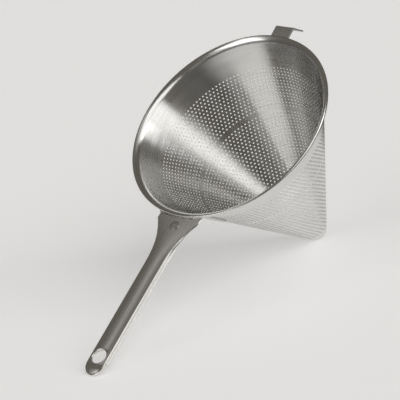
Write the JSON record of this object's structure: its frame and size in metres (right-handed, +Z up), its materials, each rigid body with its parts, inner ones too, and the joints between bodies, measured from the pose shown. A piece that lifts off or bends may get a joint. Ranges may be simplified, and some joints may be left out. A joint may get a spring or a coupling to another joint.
{
  "type": "chinois strainer",
  "caption": "Conical perforated steel strainer with a rolled rim, a riveted channel handle with a hanging hole, and a bent strip opposite it that hooks over a pot.",
  "frame": {"origin": "centre of the bounding box's base: the strainer lies on its tip and on the end of its handle", "axes": "+X from the handle's end to the tip and the hook, +Y across the handle, +Z up; the XZ plane is the plane of symmetry, and the cone's axis lies in it, tilted towards -X"},
  "size_m": [0.3942, 0.24, 0.2552],
  "materials": {
    "cone_sheet": "fine brushed stainless sheet, perforated below a plain band",
    "wire": "drawn stainless wire, closed in by the rolled rim",
    "tip": "pressed and brushed stainless sheet",
    "handle_sheet": "pressed stainless sheet, brushed along its length",
    "rivet": "smooth domed stainless rivet",
    "bracket_sheet": "brushed stainless sheet rolled to the cone",
    "hook_sheet": "brushed stainless strip with bent edges",
    "weld": "weld metal, slightly darker and finely rippled"
  },
  "bodies": {
    "root": {"cone_wall": "cone_sheet", "rim_wire": "wire", "tip_cap": "tip", "handle_shell": "handle_sheet", "handle_rivet": "rivet", "saddle_bracket": "bracket_sheet", "hook_strip": "hook_sheet", "seam_weld": "weld", "tip_weld": "weld", "rim_welds": "weld", "saddle_welds": "weld", "hook_welds": "weld"}
  },
  "joints": []
}
